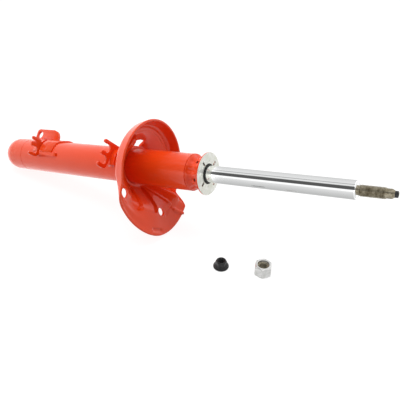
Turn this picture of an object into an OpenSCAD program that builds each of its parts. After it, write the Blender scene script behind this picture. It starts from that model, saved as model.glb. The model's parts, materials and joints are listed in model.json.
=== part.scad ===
// Front suspension strut: a twin-tube damper in a painted strut tube, with a pressed spring seat,
// hose and stabiliser brackets, a plated bump-stop disc, and its two loose nuts.
// Every strut piece is drawn in the strut's own frame: Z runs up the axis from the closed bottom end
// towards the stud, X points to the side that lies uppermost and Y to the front side.
// placed() then lays it on its spring seat and tube end. Millimetres throughout.

/* [Strut tube] */
// Outside radius of the strut tube
tube_r = 22.5; // [20:0.5:25]
// Wall of the strut tube
tube_wall = 2.5; // [2:0.5:3]
// Height of the seam between the tube and the top collar
seam_z = 343; // [341:1:344]
// Height at which the domed bottom end begins
dome_z = 14.5; // [13:0.5:15]
// Height at which the dome meets the straight tube
tube_from_z = 37.5; // [36:0.5:38]
// Height at which the clamped length of tube ends
clamp_top_z = 57.5; // [55:0.5:58]

/* [Rod and stud] */
// Radius of the piston rod
rod_r = 10; // [9:0.5:11]
// Height of the rod's shoulder at full extension
shoulder_z = 536.9; // [520:0.1:540]
// Radius of the threaded stud
stud_r = 6; // [5:0.5:6]
// Length of the stud's thread
thread_l = 25.5; // [20:0.5:30]

/* [Stop disc] */
// Radius of the bump-stop disc
disc_r = 25.5; // [24:0.5:28]
// Height of the disc's upper face
disc_z = 363.4; // [363:0.1:364]
// Thickness of the disc
disc_t = 2; // [1.5:0.1:2]

/* [Spring seat] */
// Mean radius of the cup's rim
cup_r = 58.2; // [57:0.1:59]
// Height of the cup's rim
cup_rim_z = 282.5; // [281:0.5:284]
// Height of the cup's floor
cup_floor_z = 268; // [266:1:269]
// Height where the seat's neck meets the tube
neck_z = 254; // [252:0.5:256]
// Height of the outer edge of the lobe under the spring's end
lobe_rim_z = 299.7; // [296:0.1:301]
// Thickness of the seat's sheet
seat_t = 2.8; // [2:0.1:3]
// Radius of the drain hole at the front of the seat
front_drain_r = 5.8; // [5:0.1:7]
// Radius of the drain hole in the seat's lobe
lobe_drain_r = 5; // [4:0.1:6]

/* [Brackets] */
// Height of the lower face of the hose bracket near the seat
upper_hook_z = 227.5; // [225:0.5:229]
// Height of the lower face of the hose bracket near the bottom end
lower_hook_z = 93; // [91:1:95]
// Thickness of the hook plates
hook_t = 3; // [2:0.5:4]
// Radius of the hose notches
notch_r = 5.5; // [5:0.1:5.8]
// Radius of the hole in the stabiliser-link ear
ear_hole_r = 5.5; // [5:0.1:5.6]

/* [Loose nuts] */
// Width across the flats of the stud nut
nut_af = 19; // [17:1:19]
// Height of the stud nut
nut_h = 14; // [10:1:15]
// Radius of the flange of the small nut
flange_r = 9.4; // [8:0.1:10]

/* [Hidden] */
$fn = 96;

// colours
paint = [0.85, 0.16, 0.08];
zinc = [0.80, 0.82, 0.78];
chrome = [0.86, 0.87, 0.88];
steel = [0.55, 0.56, 0.58];
sinter = [0.42, 0.43, 0.45];
rubber = [0.07, 0.07, 0.07];
ptfe = [0.40, 0.30, 0.22];
oxide = [0.06, 0.06, 0.07];

// how the strut lies: its axis climbs by this angle towards the stud
rise = 12.6;
// station on the axis that the knuckle clamp centres on, which is the origin
clamp_z = 47.5;
// the dome is flat out to this radius and then follows an ellipse
dome_flat_r = 3;
dome_wide = tube_r - dome_flat_r;
dome_high = tube_from_z - dome_z;
// lowest point of the dome as it lies
floor_z = (tube_from_z - clamp_z) * sin(rise) - dome_flat_r * cos(rise)
    - norm([dome_wide * cos(rise), dome_high * sin(rise)]);

// running and working clearances
run = 0.03;
tube_bore = tube_r - tube_wall;
groove_w = 0.6;
groove_d = 0.3;

// working cylinder
cyl_r = 15;
cyl_wall = 1.5;
cyl_bottom_z = 41.9;
cyl_top_z = 326;

// rod guide, bush and seals
guide_bottom_z = 318;
guide_top_z = 346;
guide_rim_z = 344;
guide_boss_r = 15.4;
bush_r = 11.5;
seal_top_z = 356;
seal_r = 16;
retainer_r = 15.8;
retainer_top_z = 358;
wiper_r = 11.6;
wiper_top_z = 364.6;
collar_neck_r = 18.4;

// piston stack, from the rod's end upwards
spigot_r = 6;
spigot_bottom_z = 219;
piston_nut_bottom_z = 220;
piston_shim_t = 0.4;
piston_bottom_z = 231;
piston_top_z = 249;
piston_r = 14.5;
groove_r = 13.9;
band_bottom_z = 234;
band_top_z = 246;
boss_r = 7.5;
boss_h = 1.4;
check_t = 0.5;
spigot_top_z = 252;
port_r = 1.5;

// rebound stop
stop_ring_z = 299;
stop_ring_t = 4;
bumper_top_z = 317.7;

// base valve
bolt_r = 3;
base_foot_z = 25.1;
base_plate_z = base_foot_z + 9.8;
base_top_z = base_plate_z + 12;
base_boss_r = 8;
base_boss_h = 1.6;

// ---------- frames and shared shapes ----------

module placed()
    rotate([0, 90 - rise, 0]) rotate([0, 0, 180]) translate([0, 0, -clamp_z]) children();

// a plain ring round the axis
module ring(r_in, r_out, z_low, z_high)
    rotate_extrude() translate([r_in, z_low]) square([r_out - r_in, z_high - z_low]);

// part of a ring, from one angle to another about the axis
module strap(r_in, r_out, z_low, z_high, from, to)
    rotate([0, 0, from]) rotate_extrude(angle = to - from)
        translate([r_in, z_low]) square([r_out - r_in, z_high - z_low]);

// copies of a child round the axis
module around(count, first = 0)
    for (i = [0 : count - 1]) rotate([0, 0, first + i * 360 / count]) children();

module hexagon(across_flats, z_low, z_high)
    translate([0, 0, z_low]) cylinder(h = z_high - z_low, r = across_flats / 2 / cos(30), $fn = 6);

function arc(centre, r, from, to, steps = 8) =
    [for (i = [0 : steps]) let (a = from + (to - from) * i / steps) centre + r * [cos(a), sin(a)]];

function smooth(x) = let (t = min(1, max(0, x))) t * t * (3 - 2 * t);

// ---------- painted tube, cap and collar ----------

module outer_tube() color(paint) placed() difference() {
    ring(tube_bore, tube_r, tube_from_z, seam_z);
    // locating groove that marks the end of the clamped length
    ring(tube_r - groove_d, tube_r + 1, clamp_top_z, clamp_top_z + groove_w);
}

// quarter of an ellipse from the dome's flat to the tube, as radius and height
function dome(wide, high, from, to, steps = 14) = [for (i = [0 : steps])
    let (a = from + (to - from) * i / steps)
    [dome_flat_r + wide * sin(a), tube_from_z - high * cos(a)]];

module base_cap() color(paint) placed() rotate_extrude() polygon(concat(
    [[0, dome_z]], dome(dome_wide, dome_high, 0, 90),
    dome(dome_wide - tube_wall, dome_high - tube_wall, 90, 0), [[0, dome_z + tube_wall]]));

module top_collar() {
    shoulder_from_z = 344;
    shoulder_to_z = 350.5;
    inner_from_z = 344.6;
    inner_to_z = 348.6;
    collar_top_z = disc_z - disc_t;
    window_l = 4.2;
    window_h = 2.6;
    window_z = 354.2;
    steps = 10;
    color(paint) placed() difference() {
        rotate_extrude() polygon(concat(
            [[tube_bore, seam_z], [tube_r, seam_z]],
            [for (i = [0 : steps]) [tube_r + (collar_neck_r - tube_r) * smooth(i / steps),
                                    shoulder_from_z + (shoulder_to_z - shoulder_from_z) * i / steps]],
            [[collar_neck_r, collar_top_z], [seal_r, collar_top_z], [seal_r, inner_to_z],
             [tube_bore, inner_from_z]]));
        around(5, 16.6) translate([0, -window_l / 2, window_z - window_h / 2])
            cube([tube_r, window_l, window_h]);
    }
}

module stop_disc() {
    slot_l = 6.4;
    slot_w = 2.8;
    slot_mid_r = 16.6;
    dimple_r = 1.5;
    dimple_mid_r = 15;
    color(zinc) placed() difference() {
        ring(12, disc_r, disc_z - disc_t, disc_z);
        around(4, 20) translate([slot_mid_r, 0, disc_z - disc_t - 1]) linear_extrude(disc_t + 2)
            square([slot_l, slot_w], center = true);
        around(4, -25) translate([dimple_mid_r, 0, disc_z + dimple_r / 2]) sphere(r = dimple_r, $fn = 24);
    }
}

// ---------- spring seat ----------

// A cup round three sides of the tube opens into a lobe that climbs and widens under the spring's end.
// Angles are measured from the uppermost side towards the front.
// the lobe takes most of its width soon after the cup's side ends, and the rest as it climbs
open_from = 74;
open_to = 104;
open_share = 0.82;
lobe_full = 153;
lift_from = 104.5;
lift_full = 154.5;
lobe_end = 198;
lobe_step = 12;
lobe_mid = 150;
lobe_offset = 24.7;
lobe_circle_r = 58.4;
seat_hole_r = 22.9;
flange_from_r = 62;
// the section's first points, next to the tube, stay flat for the weld
flat_stations = 1;

function lobe_share(a) =
    (open_share * smooth((a - open_from) / (open_to - open_from))
     + (1 - open_share) * smooth((a - open_to) / (lobe_full - open_to)))
    * (1 - smooth((a - lobe_end) / lobe_step));
// the floor inside the rim climbs sooner than the rim does, to a ledge
ledge_from = 70;
ledge_to = 100;
ledge_share = 0.45;
ledge_weights = [0, 0, 0.6, 1, 1, 1, 1, 1, 0.55, 0];
function ledge(a, j) = ledge_share * ledge_weights[j] * smooth((a - ledge_from) / (ledge_to - ledge_from));
function station_lift(a, j) =
    (1 - (1 - ledge(a, j)) * (1 - smooth((a - lift_from) / (lift_full - lift_from))))
    * (1 - smooth((a - lobe_end) / lobe_step));
function lobe_r(a) =
    lobe_offset * cos(a - lobe_mid) + sqrt(pow(lobe_circle_r, 2) - pow(lobe_offset * sin(a - lobe_mid), 2));
function flange_r_at(a, share) = flange_from_r + (lobe_r(a) - flange_from_r) * share;

// the cup's section and the lobe's section, as radius and height, from the tube outwards
cup_section = [
    [seat_hole_r, neck_z], [26.5, neck_z], [31, neck_z + 4], [38, cup_floor_z - 4],
    [44.5, cup_floor_z], [47.5, cup_floor_z + 0.2], [52, cup_floor_z + 1], [54.6, cup_floor_z + 3],
    [56.4, cup_rim_z - 6], [cup_r, cup_rim_z]];
function lobe_section(a) = [
    [seat_hole_r, neck_z], [26.5, neck_z + 0.5], [32, neck_z + 6], [42, cup_floor_z + 8],
    [51, lobe_rim_z - 12.5], [57, lobe_rim_z - 9], [flange_from_r, lobe_rim_z - 7],
    [flange_r_at(a, 0.35), lobe_rim_z - 5], [flange_r_at(a, 0.72), lobe_rim_z - 2.5],
    [flange_r_at(a, 1), lobe_rim_z]];

// one soft bump or dent at an angle and radius
function dent(a, r, at_a, at_r, half_a, half_r, height) =
    height * exp(-pow((a - at_a) / half_a, 2) - pow((r - at_r) / half_r, 2));
// pocket pressed in along a line that runs outwards, from an angle at the tube to one at its tip
function pocket(a, r, from_a, tip_a, half_a) =
    dent(a, r, from_a + (tip_a - from_a) * (r - 28) / 28, 45, half_a, 10, -4.5);
// two pockets, the stop that the spring's end meets, the ridge beyond it, and a drain dimple
function relief(a, r) =
    pocket(a, r, 131, 121, 9) + pocket(a, r, 174, 153, 5)
    + dent(a, r, 199, 50, 11, 11, 8) + dent(a, r, 188, 69, 3, 6, 2.4) + dent(a, r, 150, 77.5, 6, 2.5, -1.8);

// where the cup's side turns into the lobe, its lip swells outwards
swell = 5;
swell_at = 92;
swell_half_a = 11;
swell_weights = [0, 0, 0, 0, 0, 0.2, 0.6, 0.9, 1, 1];
function swell_r(a, j) = swell * swell_weights[j] * exp(-pow((a - swell_at) / swell_half_a, 2));

function section_at(a) = let (c = cup_section, l = lobe_section(a)) [for (j = [0 : len(c) - 1])
    let (r = c[j][0] + (l[j][0] - c[j][0]) * lobe_share(a) + swell_r(a, j),
         z = c[j][1] + (l[j][1] - c[j][1]) * station_lift(a, j))
    [r, z + (j <= flat_stations ? 0 : relief(a, r))]];

// the section's underside, one sheet thickness away
function under(s) = [for (j = [0 : len(s) - 1])
    let (before = s[max(0, j - 1)], after = s[min(len(s) - 1, j + 1)],
         d = j == 0 ? [1, 0] : (after - before) / norm(after - before))
    s[j] + seat_t * [d[1], -d[0]]];

module seat_sheet() {
    steps = 90;
    sections = [for (i = [0 : steps - 1]) let (s = section_at(i * 360 / steps), u = under(s))
        concat(s, [for (j = [len(u) - 1 : -1 : 0]) u[j]])];
    count = len(sections[0]);
    points = [for (i = [0 : steps - 1], q = sections[i]) let (a = i * 360 / steps)
        [q[0] * cos(a), q[0] * sin(a), q[1]]];
    faces = [for (i = [0 : steps - 1], j = [0 : count - 1])
        let (i2 = (i + 1) % steps, j2 = (j + 1) % count,
             p = i * count + j, q = i * count + j2, r = i2 * count + j2, s = i2 * count + j)
        each [[p, q, r], [p, r, s]]];
    polyhedron(points, faces, convexity = 6);
}

// a round drain hole straight through the sheet
module seat_drain(a, r, hole_r) rotate([0, 0, a]) translate([r, 0, cup_floor_z - 12])
    cylinder(h = 48, r = hole_r);

module spring_seat() {
    window_from = -42;
    window_to = -4;
    window_top_z = cup_floor_z + 4;
    color(paint) placed() difference() {
        seat_sheet();
        seat_drain(95, 56.5, front_drain_r);
        seat_drain(163.5, 57, lobe_drain_r);
        strap(seat_hole_r + 2, 34, neck_z - 6, window_top_z, window_from, window_to);
    }
}

module seat_weld() {
    leg = 3.4;
    top_z = neck_z - seat_t;
    color(paint) placed() rotate_extrude()
        polygon([[tube_r, top_z], [tube_r + leg, top_z], [tube_r + leg * 0.6, top_z - leg * 0.6],
                 [tube_r, top_z - leg]]);
}

// ---------- hose and link brackets ----------

// the ways that the two hooks point, as angles about the axis
upper_hook_a = 39.6;
lower_hook_a = 45;
foot_t = 2.2;
saddle_t = 2;

// a plate across the axis, shown in its own directions, with notches that open outwards
module hook_plate(turn, outline, notches, mouth, z_low) rotate([0, 0, turn]) translate([0, 0, z_low])
    difference() {
        linear_extrude(hook_t) difference() {
            polygon(outline);
            for (n = notches) {
                translate([n[0], n[1]]) circle(r = n[2]);
                translate([n[0], n[1] - mouth * n[2] / 2]) square([30, mouth * n[2]]);
            }
        }
        translate([0, 0, -1]) cylinder(h = hook_t + 2, r = tube_r);
    }

module upper_hook_plate() {
    tip = 42.4;
    top = -17.2;
    bottom = 18.6;
    corner_r = 6;
    color(paint) placed() hook_plate(upper_hook_a, concat(
        [[14, top - 1.3], [tip - 1, top], [tip + 0.6, top + 3], [tip - 1, top + 6], [tip - 1.4, -3.6],
         [tip, 1.6], [tip - 1, 4], [tip - 1, bottom - 5], [tip + 0.4, bottom - 1.6], [tip - 2.4, bottom]],
        arc([25.9 + corner_r, bottom - corner_r], corner_r, 90, 180), [[24, 0]]),
        [[34.2, -7.7, notch_r], [35.2, 8.1, notch_r]], 1.8, upper_hook_z);
}

module upper_hook_foot() color(paint) placed()
    strap(tube_r, tube_r + foot_t, upper_hook_z + hook_t, upper_hook_z + 10, 12, 64);

module upper_hook_weld() color(paint) placed() {
    strap(tube_r, tube_r + foot_t * 0.8, upper_hook_z - 2.5, upper_hook_z, -4, 36);
    strap(tube_r, tube_r + foot_t * 0.8, upper_hook_z, upper_hook_z + 10, 64, 69);
}

module lower_hook_plate() {
    tip = 38.6;
    top = -17.6;
    bottom = 8.9;
    corner_r = 7;
    slot_r = 1.3;
    color(paint) placed() hook_plate(lower_hook_a, concat(
        [[18, top + 5], [28, top], [tip + 0.6, top], [tip - 1, top + 4.2], [tip - 1, -10.6], [tip + 0.4, -7],
         [tip - 0.6, -4.4], [tip - 0.6, 4.3], [tip + 0.9, 7], [tip - 2.6, bottom]],
        arc([22.5 + corner_r, bottom - corner_r], corner_r, 90, 170), [[19, 0]]),
        [[31.2, 0, 5], [33.5, -12, slot_r]], 1.8, lower_hook_z);
}

module lower_hook_foot() color(paint) placed()
    strap(tube_r, tube_r + foot_t, lower_hook_z + hook_t, 131, 44.5, 56.5);

saddle_from = -62;
saddle_to = 44;
saddle_z = 60;
saddle_front_z = 84;
saddle_top_z = 120.8;
saddle_tail_z = 131;

// the front side begins higher up, clear of the hook, and the back side has a tail
module link_saddle() color(paint) placed() difference() {
    union() {
        strap(tube_r, tube_r + saddle_t, saddle_z, saddle_tail_z, saddle_from, -17);
        strap(tube_r, tube_r + saddle_t, saddle_front_z, saddle_top_z, -18, saddle_to);
    }
    strap(tube_r - 1, tube_r + saddle_t + 1, lower_hook_z - 1, lower_hook_z + hook_t + 1, -14, 60);
}

// the ear stands on the saddle, its plate turned by this angle about the axis and this far off it
ear_turn = -46;
ear_off = 2;
ear_t = 4;
ear_from_z = 60.5;
ear_to_z = 106.5;
ear_top = 38.4;
ear_hole = [67.9, 30];

module link_ear() {
    near_round = 5;
    far_round = 13;
    color(paint) placed() difference() {
        rotate([0, 0, ear_turn]) translate([0, ear_off, 0]) rotate([0, -90, -90])
            linear_extrude(ear_t) difference() {
                polygon(concat(
                    [[ear_from_z, tube_bore], [ear_to_z, tube_bore]],
                    arc([ear_to_z - far_round, ear_top - far_round], far_round, 0, 90),
                    arc([ear_from_z + near_round, ear_top - near_round], near_round, 90, 180)));
                translate(ear_hole) circle(r = ear_hole_r);
            }
        translate([0, 0, ear_from_z - 5]) cylinder(h = 60, r = tube_r + saddle_t);
    }
}

// the beads along the ear's foot, one on each side
module link_weld() {
    bead = 1.8;
    low_z = ear_from_z + 18;
    high_z = ear_to_z - 8;
    color(paint) placed() for (front = [0, 1]) difference() {
        strap(tube_r + saddle_t, tube_r + saddle_t + bead, low_z, high_z,
              front ? -36 : -48, front ? -26 : -38);
        rotate([0, 0, ear_turn]) translate([0, front ? ear_off - 20 : ear_off, low_z - 1])
            cube([60, ear_t + 20, high_z - low_z + 2]);
    }
}

// ---------- working cylinder, guide and seals ----------

module inner_cylinder() color(steel) placed() ring(cyl_r, cyl_r + cyl_wall, cyl_bottom_z, cyl_top_z);

module rod_guide() color(sinter) placed() difference() {
    rotate_extrude() polygon([
        [bush_r, guide_bottom_z], [cyl_r - 0.8, guide_bottom_z], [cyl_r, guide_bottom_z + 0.8],
        [cyl_r, cyl_top_z], [tube_bore - 0.6, cyl_top_z], [tube_bore, cyl_top_z + 0.6],
        [tube_bore, guide_rim_z], [guide_boss_r, guide_rim_z], [guide_boss_r, guide_top_z],
        [13, guide_top_z], [13, guide_top_z - 2], [bush_r, guide_top_z - 2]]);
    // oil returns
    around(3, 90) translate([17.8, 0, cyl_top_z - 1]) cylinder(h = 30, r = port_r);
}

module guide_bush() color(ptfe) placed() ring(rod_r + run, bush_r, guide_bottom_z + 2, guide_top_z - 4);

module oil_seal() {
    lip = rod_r + run;
    color(rubber) placed() rotate_extrude() polygon([
        [11.5, guide_top_z], [seal_r, guide_top_z], [seal_r, seal_top_z], [14, seal_top_z],
        [10.8, seal_top_z - 1.4], [lip, seal_top_z - 2.4], [lip, seal_top_z - 3], [12.5, seal_top_z - 5],
        [10.8, guide_top_z + 3], [lip, guide_top_z + 2.4], [lip, guide_top_z + 1.8]]);
}

module seal_retainer() color(steel) placed() ring(13.2, retainer_r, seal_top_z, retainer_top_z);

module dust_wiper() color(rubber) placed() rotate_extrude() polygon([
    [rod_r + 0.9, retainer_top_z], [retainer_r - 0.4, retainer_top_z],
    [retainer_r - 0.4, retainer_top_z + 1.4],
    [wiper_r, retainer_top_z + 1.8], [wiper_r, wiper_top_z - 0.6], [wiper_r - 0.5, wiper_top_z],
    [rod_r + 0.3, wiper_top_z], [rod_r + run, wiper_top_z - 0.3], [rod_r + run, wiper_top_z - 1.4],
    [rod_r + 0.9, wiper_top_z - 2.6]]);

// ---------- base valve ----------

module base_valve_body() {
    foot_in_r = 14.5;
    seat_r = cyl_r + cyl_wall;
    color(sinter) placed() difference() {
        rotate_extrude() polygon([
            [bolt_r, base_plate_z], [foot_in_r, base_plate_z], [foot_in_r, base_foot_z],
            [seat_r, base_foot_z], [seat_r, cyl_bottom_z], [cyl_r, cyl_bottom_z], [cyl_r, base_top_z],
            [base_boss_r, base_top_z], [base_boss_r, base_top_z + base_boss_h],
            [bolt_r, base_top_z + base_boss_h]]);
        around(6) translate([10.8, 0, base_plate_z - 1]) cylinder(h = 16, r = port_r);
        around(4, 45) translate([10, -3, base_foot_z - 1]) cube([10, 6, 7.8]);
    }
}

module base_valve_bolt() color(steel) placed() {
    head_r = 5.5;
    head_z = base_foot_z + 5.3;
    neck_z = base_plate_z - 2;
    end_z = base_foot_z + 27.8;
    rotate_extrude() polygon([
        [0, head_z], [head_r, head_z], [head_r, neck_z], [bolt_r, neck_z], [bolt_r, end_z], [0, end_z]]);
}

module base_valve_shims() color(steel) placed()
    for (i = [0 : 3]) ring(bolt_r, 12 - i, base_plate_z - (i + 1) * 0.5, base_plate_z - i * 0.5);

module base_valve_washer() color(steel) placed()
    ring(bolt_r, 13, base_top_z + base_boss_h, base_top_z + base_boss_h + 1);

module base_valve_nut() color(steel) placed() difference() {
    hexagon(9, base_top_z + base_boss_h + 1, base_top_z + 5.6);
    translate([0, 0, base_plate_z]) cylinder(h = 20, r = bolt_r);
}

module base_check_disc() color(steel) placed()
    ring(base_boss_r + 0.1, 13.5, base_top_z, base_top_z + check_t);

// ---------- rod and piston ----------

module piston_rod() {
    neck_r = 5.1;
    undercut = 0.6;
    dog_r = 5;
    pin_r = 3.4;
    thread_z = shoulder_z + 2;
    dog_z = thread_z + thread_l;
    color(chrome) placed() rotate_extrude() polygon([
        [0, spigot_bottom_z], [spigot_r - 0.8, spigot_bottom_z], [spigot_r, spigot_bottom_z + 0.8],
        [spigot_r, spigot_top_z], [rod_r, spigot_top_z], [rod_r, shoulder_z - 1.2],
        [rod_r - 1.2, shoulder_z], [stud_r + 0.3, shoulder_z], [neck_r, shoulder_z - undercut],
        [neck_r, thread_z - 0.8], [stud_r, thread_z],
        [stud_r, dog_z], [dog_r, dog_z + 0.8], [dog_r, dog_z + 5.6], [pin_r, dog_z + 8],
        [pin_r, dog_z + 10.6], [pin_r - 0.5, dog_z + 11.1], [0, dog_z + 11.1]]);
}

module piston() color(sinter) placed() difference() {
    rotate_extrude() polygon([
        [spigot_r, piston_bottom_z], [piston_r - 0.6, piston_bottom_z], [piston_r, piston_bottom_z + 0.6],
        [piston_r, band_bottom_z], [groove_r, band_bottom_z], [groove_r, band_top_z], [piston_r, band_top_z],
        [piston_r, piston_top_z - 0.6], [piston_r - 0.6, piston_top_z], [boss_r, piston_top_z],
        [boss_r, piston_top_z + boss_h], [spigot_r, piston_top_z + boss_h]]);
    around(6) translate([10.6, 0, piston_bottom_z - 1]) cylinder(h = 22, r = port_r);
}

module piston_band() color(ptfe) placed()
    ring(groove_r + 0.05, cyl_r - run, band_bottom_z + 0.1, band_top_z - 0.1);

module piston_shims() color(steel) placed() for (i = [0 : 3])
    ring(spigot_r, 13 - i, piston_bottom_z - (i + 1) * piston_shim_t, piston_bottom_z - i * piston_shim_t);

module piston_check_disc() color(steel) placed()
    ring(boss_r + 0.1, 13, piston_top_z, piston_top_z + check_t);

module piston_washer() color(steel) placed() ring(spigot_r, 12.5, piston_top_z + boss_h, spigot_top_z);

module piston_nut() color(steel) placed() difference() {
    hexagon(18, piston_nut_bottom_z, piston_bottom_z - 4 * piston_shim_t);
    translate([0, 0, spigot_bottom_z - 1]) cylinder(h = 20, r = spigot_r);
}

module rebound_stop_ring() color(steel) placed() ring(rod_r, 14, stop_ring_z, stop_ring_z + stop_ring_t);

module rebound_bumper() {
    bumper_r = 13.6;
    bulge_z = (stop_ring_z + stop_ring_t + bumper_top_z) / 2;
    color(rubber) placed() difference() {
        ring(rod_r, bumper_r, stop_ring_z + stop_ring_t, bumper_top_z);
        // a waist lets the bumper bulge as it is squeezed
        translate([0, 0, bulge_z]) rotate_extrude() translate([bumper_r + 1.2, 0]) circle(r = 2.6);
    }
}

// ---------- loose nuts, standing on the surface that the strut lies on ----------

// where each nut stands, in the row frame
top_nut_at = [398.1, -27.4];
flange_nut_at = [350.7, -42.6];
nut_turn = 20;

module top_nut() {
    corner_r = nut_af / 2 / cos(30);
    chamfer = 1.1;
    bore_r = 5.5;
    mouth_r = 6.9;
    color(zinc) translate([top_nut_at[0], top_nut_at[1], floor_z]) rotate([0, 0, nut_turn]) difference() {
        intersection() {
            hexagon(nut_af, 0, nut_h);
            union() {
                cylinder(h = nut_h - chamfer, r1 = corner_r + nut_h, r2 = corner_r);
                translate([0, 0, nut_h - chamfer])
                    cylinder(h = chamfer, r1 = corner_r, r2 = nut_af / 2 - 0.5);
            }
        }
        translate([0, 0, -1]) cylinder(h = nut_h + 2, r = bore_r);
        translate([0, 0, nut_h - 3.2]) cylinder(h = 4, r = mouth_r);
    }
}

module flange_nut() {
    hex_af = 12;
    height = 9.5;
    rim_t = 1.6;
    color(oxide) translate([flange_nut_at[0], flange_nut_at[1], floor_z]) difference() {
        union() {
            cylinder(h = rim_t, r = flange_r);
            translate([0, 0, rim_t]) cylinder(h = 3.4, r1 = flange_r - 0.4, r2 = 5.6);
            intersection() {
                hexagon(hex_af, rim_t, height);
                cylinder(h = height, r1 = hex_af, r2 = hex_af / 2 - 0.2);
            }
        }
        translate([0, 0, -1]) cylinder(h = height + 2, r = 3.4);
    }
}

outer_tube();
base_cap();
top_collar();
stop_disc();
spring_seat();
seat_weld();
upper_hook_plate();
upper_hook_foot();
upper_hook_weld();
lower_hook_plate();
lower_hook_foot();
link_saddle();
link_ear();
link_weld();
inner_cylinder();
rod_guide();
guide_bush();
oil_seal();
seal_retainer();
dust_wiper();
base_valve_body();
base_valve_bolt();
base_valve_shims();
base_valve_washer();
base_valve_nut();
base_check_disc();
piston_rod();
piston();
piston_band();
piston_shims();
piston_check_disc();
piston_washer();
piston_nut();
rebound_stop_ring();
rebound_bumper();
top_nut();
flange_nut();
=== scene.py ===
import json
import math

import bmesh
import bpy
from mathutils import Matrix, Vector, noise

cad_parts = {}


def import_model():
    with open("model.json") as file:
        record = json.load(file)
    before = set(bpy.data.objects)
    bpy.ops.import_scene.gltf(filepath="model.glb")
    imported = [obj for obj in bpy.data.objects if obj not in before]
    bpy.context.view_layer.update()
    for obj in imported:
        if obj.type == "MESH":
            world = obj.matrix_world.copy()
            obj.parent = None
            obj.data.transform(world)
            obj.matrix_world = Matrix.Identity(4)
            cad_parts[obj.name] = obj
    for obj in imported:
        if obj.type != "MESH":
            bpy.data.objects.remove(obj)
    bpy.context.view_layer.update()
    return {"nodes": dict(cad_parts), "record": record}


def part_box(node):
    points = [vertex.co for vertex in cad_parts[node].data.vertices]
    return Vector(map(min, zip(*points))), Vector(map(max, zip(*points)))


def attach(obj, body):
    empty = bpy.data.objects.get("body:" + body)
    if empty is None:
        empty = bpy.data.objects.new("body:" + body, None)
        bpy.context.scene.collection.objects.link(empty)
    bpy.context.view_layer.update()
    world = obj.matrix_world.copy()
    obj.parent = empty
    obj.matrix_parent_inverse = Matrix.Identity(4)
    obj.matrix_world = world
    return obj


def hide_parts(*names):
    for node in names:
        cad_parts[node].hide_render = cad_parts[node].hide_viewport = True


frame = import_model()

# ------------------------------------------------------------------ frames
# Strut pieces are built in the strut's own frame, in millimetres: Z along the axis from the closed
# end, X to the uppermost side, Y to the front. OWN carries them to the row frame in metres.
MM = 1e-3
RISE = math.radians(12.6)
CLAMP_Z = 47.5
RISE_COS, RISE_SIN = math.cos(RISE), math.sin(RISE)
OWN = Matrix((
    (-RISE_SIN * MM, 0.0, RISE_COS * MM, -CLAMP_Z * RISE_COS * MM),
    (0.0, -MM, 0.0, 0.0),
    (RISE_COS * MM, 0.0, RISE_SIN * MM, -CLAMP_Z * RISE_SIN * MM),
    (0.0, 0.0, 0.0, 1.0)))
# the strut's directions in the row frame
AXIS = Vector((RISE_COS, 0, RISE_SIN))
UPPERMOST = Vector((-RISE_SIN, 0, RISE_COS))
FRONT = Vector((0, -1, 0))
# the surface that everything lies on
FLOOR_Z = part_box("top_nut")[0].z


def polar(r, a, z):
    """The point at a radius, an angle in degrees and a height."""
    a = math.radians(a)
    return Vector((r * math.cos(a), r * math.sin(a), z))


def smooth(x):
    t = min(1.0, max(0.0, x))
    return t * t * (3 - 2 * t)


def arc(cx, cy, r, start, end, steps=8):
    """Points along a circle, with angles in degrees."""
    return [(cx + r * math.cos(math.radians(start + (end - start) * i / steps)),
             cy + r * math.sin(math.radians(start + (end - start) * i / steps))) for i in range(steps + 1)]


def wobble(p, scale, seed=0.0):
    """Smooth noise about zero, the same for the same point and seed."""
    return noise.noise(Vector(p) * scale + Vector((seed, seed * 1.7, seed * 0.3)))


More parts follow.
